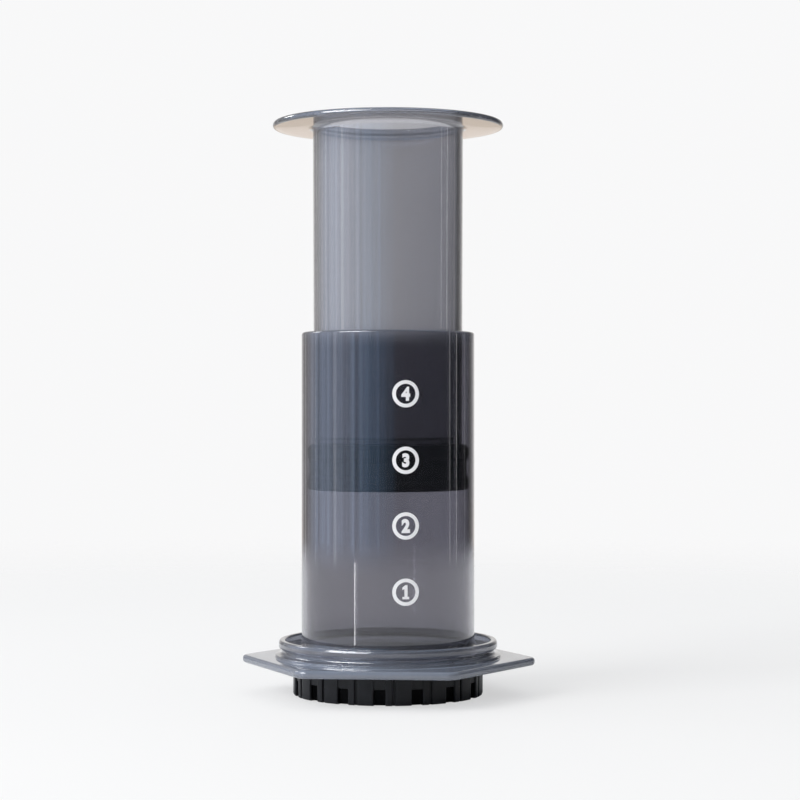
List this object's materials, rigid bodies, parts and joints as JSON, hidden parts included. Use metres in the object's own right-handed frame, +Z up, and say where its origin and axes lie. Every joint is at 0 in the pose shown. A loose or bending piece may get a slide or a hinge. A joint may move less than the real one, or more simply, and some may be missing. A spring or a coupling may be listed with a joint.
{
  "type": "hand press coffee maker",
  "caption": "Hand press coffee maker: a smoky brewing tube with a hexagonal flange and a twist-off filter cap, and a flanged plunger with a rubber seal sliding in it.",
  "frame": {"origin": "on the axis of the tubes, where the filter cap stands on the table", "axes": "+Z up along the axis of the tubes, +X towards one corner of the hexagonal flange"},
  "size_m": [0.1078, 0.0948, 0.2107],
  "materials": {
    "chamber_plastic": "smoky see-through moulded plastic, glossy, with white printed numbers",
    "plunger_plastic": "smoky see-through moulded plastic, glossy",
    "seal_rubber": "black moulded rubber, satin",
    "cap_plastic": "black moulded plastic, satin",
    "filter_paper": "thin white filter paper, matte"
  },
  "bodies": {
    "chamber": {"chamber": "chamber_plastic"},
    "seal": {"plunger_seal": "seal_rubber"},
    "plunger": {"plunger": "plunger_plastic"},
    "cap": {"filter_cap": "cap_plastic", "paper_filter": "filter_paper"}
  },
  "joints": [
    {"name": "plunger_slide", "type": "slide", "parent": "chamber", "child": "seal", "axis": [0, 0, 1], "range_m": [-0.0701, 0.0605]},
    {"name": "plunger_turn", "type": "hinge", "parent": "seal", "child": "plunger", "pos_m": [0, 0, 0.083], "axis": [0, 0, 1], "continuous": true},
    {"name": "cap_twist", "type": "hinge", "parent": "chamber", "child": "cap", "pos_m": [0, 0, 0.005], "axis": [0, 0, -1], "range_deg": [0, 30]}
  ]
}
